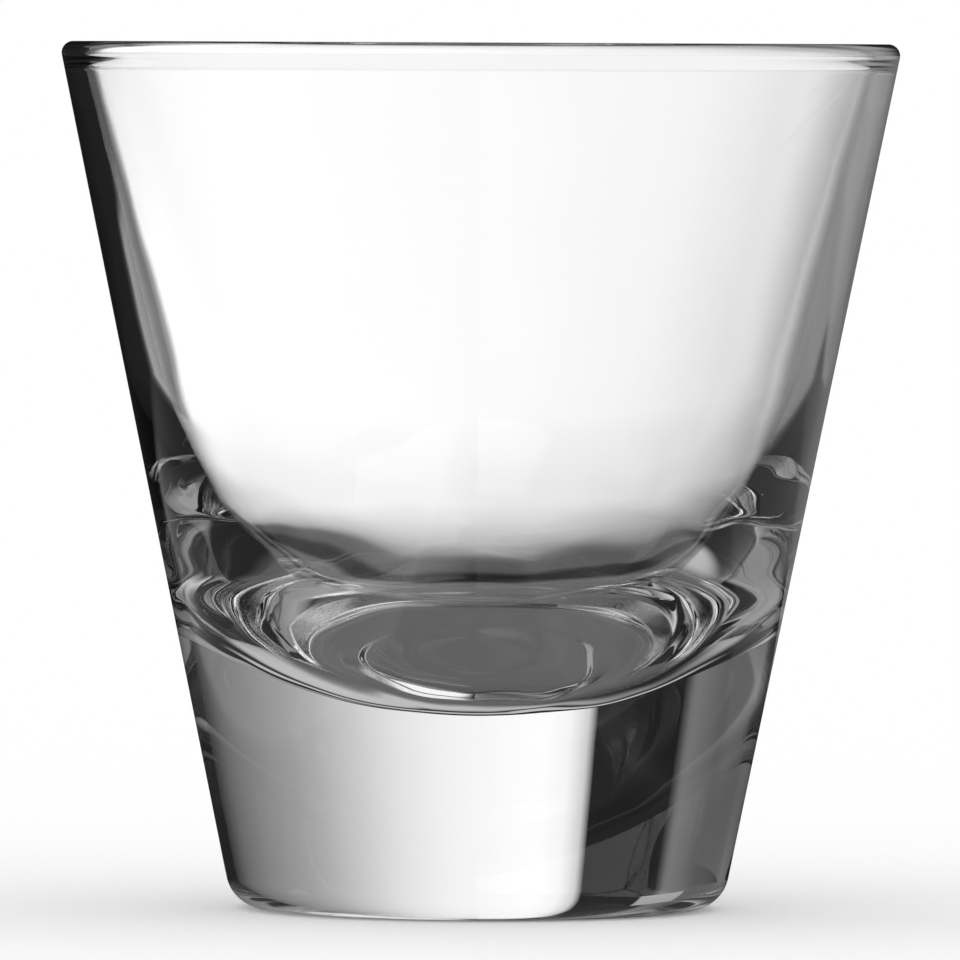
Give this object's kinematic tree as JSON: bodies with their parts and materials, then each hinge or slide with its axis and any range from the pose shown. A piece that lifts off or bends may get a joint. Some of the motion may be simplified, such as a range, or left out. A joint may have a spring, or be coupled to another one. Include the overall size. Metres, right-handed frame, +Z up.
{
  "type": "cortado glass",
  "caption": "Small clear drinking glass with a straight tapered wall, a rounded rim, a bowl-shaped inside and a thick solid base.",
  "frame": {"origin": "centre of the ring that the glass stands on, at table height", "axes": "+Z up along the glass's axis, from the foot to the rim"},
  "size_m": [0.0726, 0.0726, 0.075],
  "materials": {
    "clear_glass": "clear and polished"
  },
  "bodies": {
    "root": {"glass_body": "clear_glass"}
  },
  "joints": []
}
